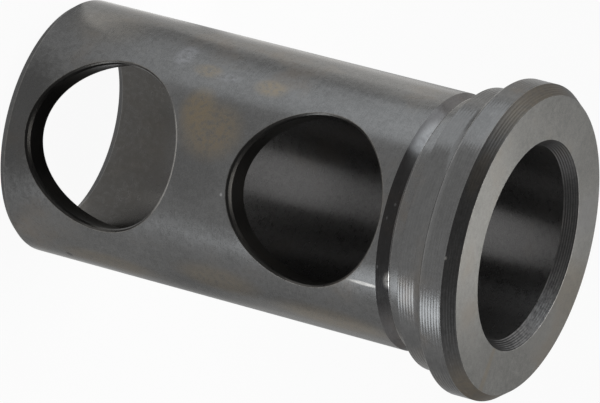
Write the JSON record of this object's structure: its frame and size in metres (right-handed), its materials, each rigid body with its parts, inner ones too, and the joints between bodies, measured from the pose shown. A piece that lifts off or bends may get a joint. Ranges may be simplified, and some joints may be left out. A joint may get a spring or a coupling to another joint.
{
  "type": "tool holder bushing",
  "caption": "Flanged steel sleeve that fits a round tool shank to a lathe tool holder's larger socket, with cross holes in one wall for the clamping screws.",
  "frame": {"origin": "centre of the plain end's ring, where the bushing stands", "axes": "+Z along the bore from the plain end to the flanged head, -Y towards the cross holes"},
  "size_m": [0.0622, 0.0622, 0.1032],
  "materials": {
    "steel": "turned steel under a thin black oxide, satin, with fine tool marks around it"
  },
  "bodies": {
    "root": {"bushing": "steel"}
  },
  "joints": []
}
